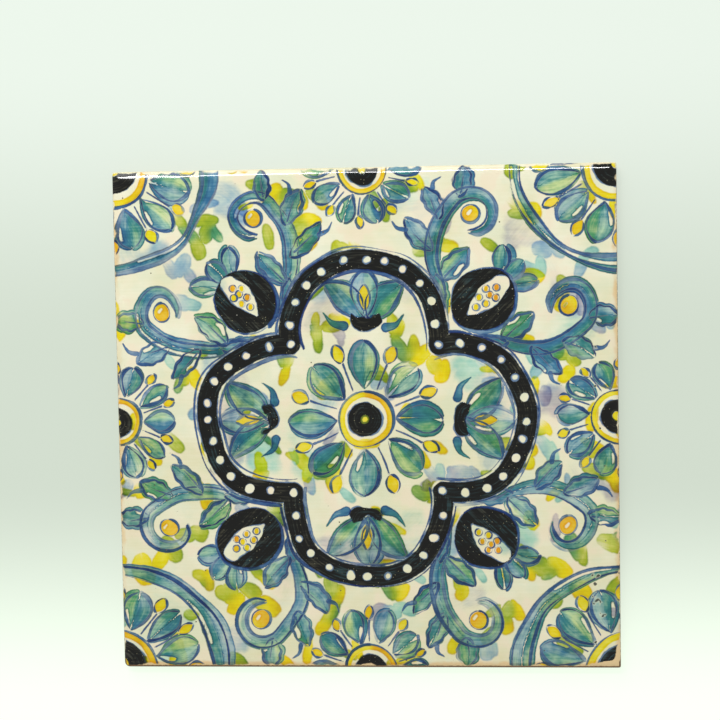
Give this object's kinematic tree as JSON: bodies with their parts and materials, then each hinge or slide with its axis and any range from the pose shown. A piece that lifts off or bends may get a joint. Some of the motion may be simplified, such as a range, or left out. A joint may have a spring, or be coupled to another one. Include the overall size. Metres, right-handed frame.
{
  "type": "glazed ceramic wall tile",
  "caption": "Square hand-painted glazed wall tile with a cushioned face edge, sloped sides and a keyed back, fired as one piece.",
  "frame": {"origin": "middle of the back, on the plane of its ribs and border, which the tile lies on", "axes": "+Z out of the glazed face, +Y towards the top of the painted face, +X to its right"},
  "size_m": [0.2, 0.2, 0.008],
  "materials": {
    "glazed_earthenware": "gloss"
  },
  "bodies": {
    "root": {"tile": "glazed_earthenware"}
  },
  "joints": []
}
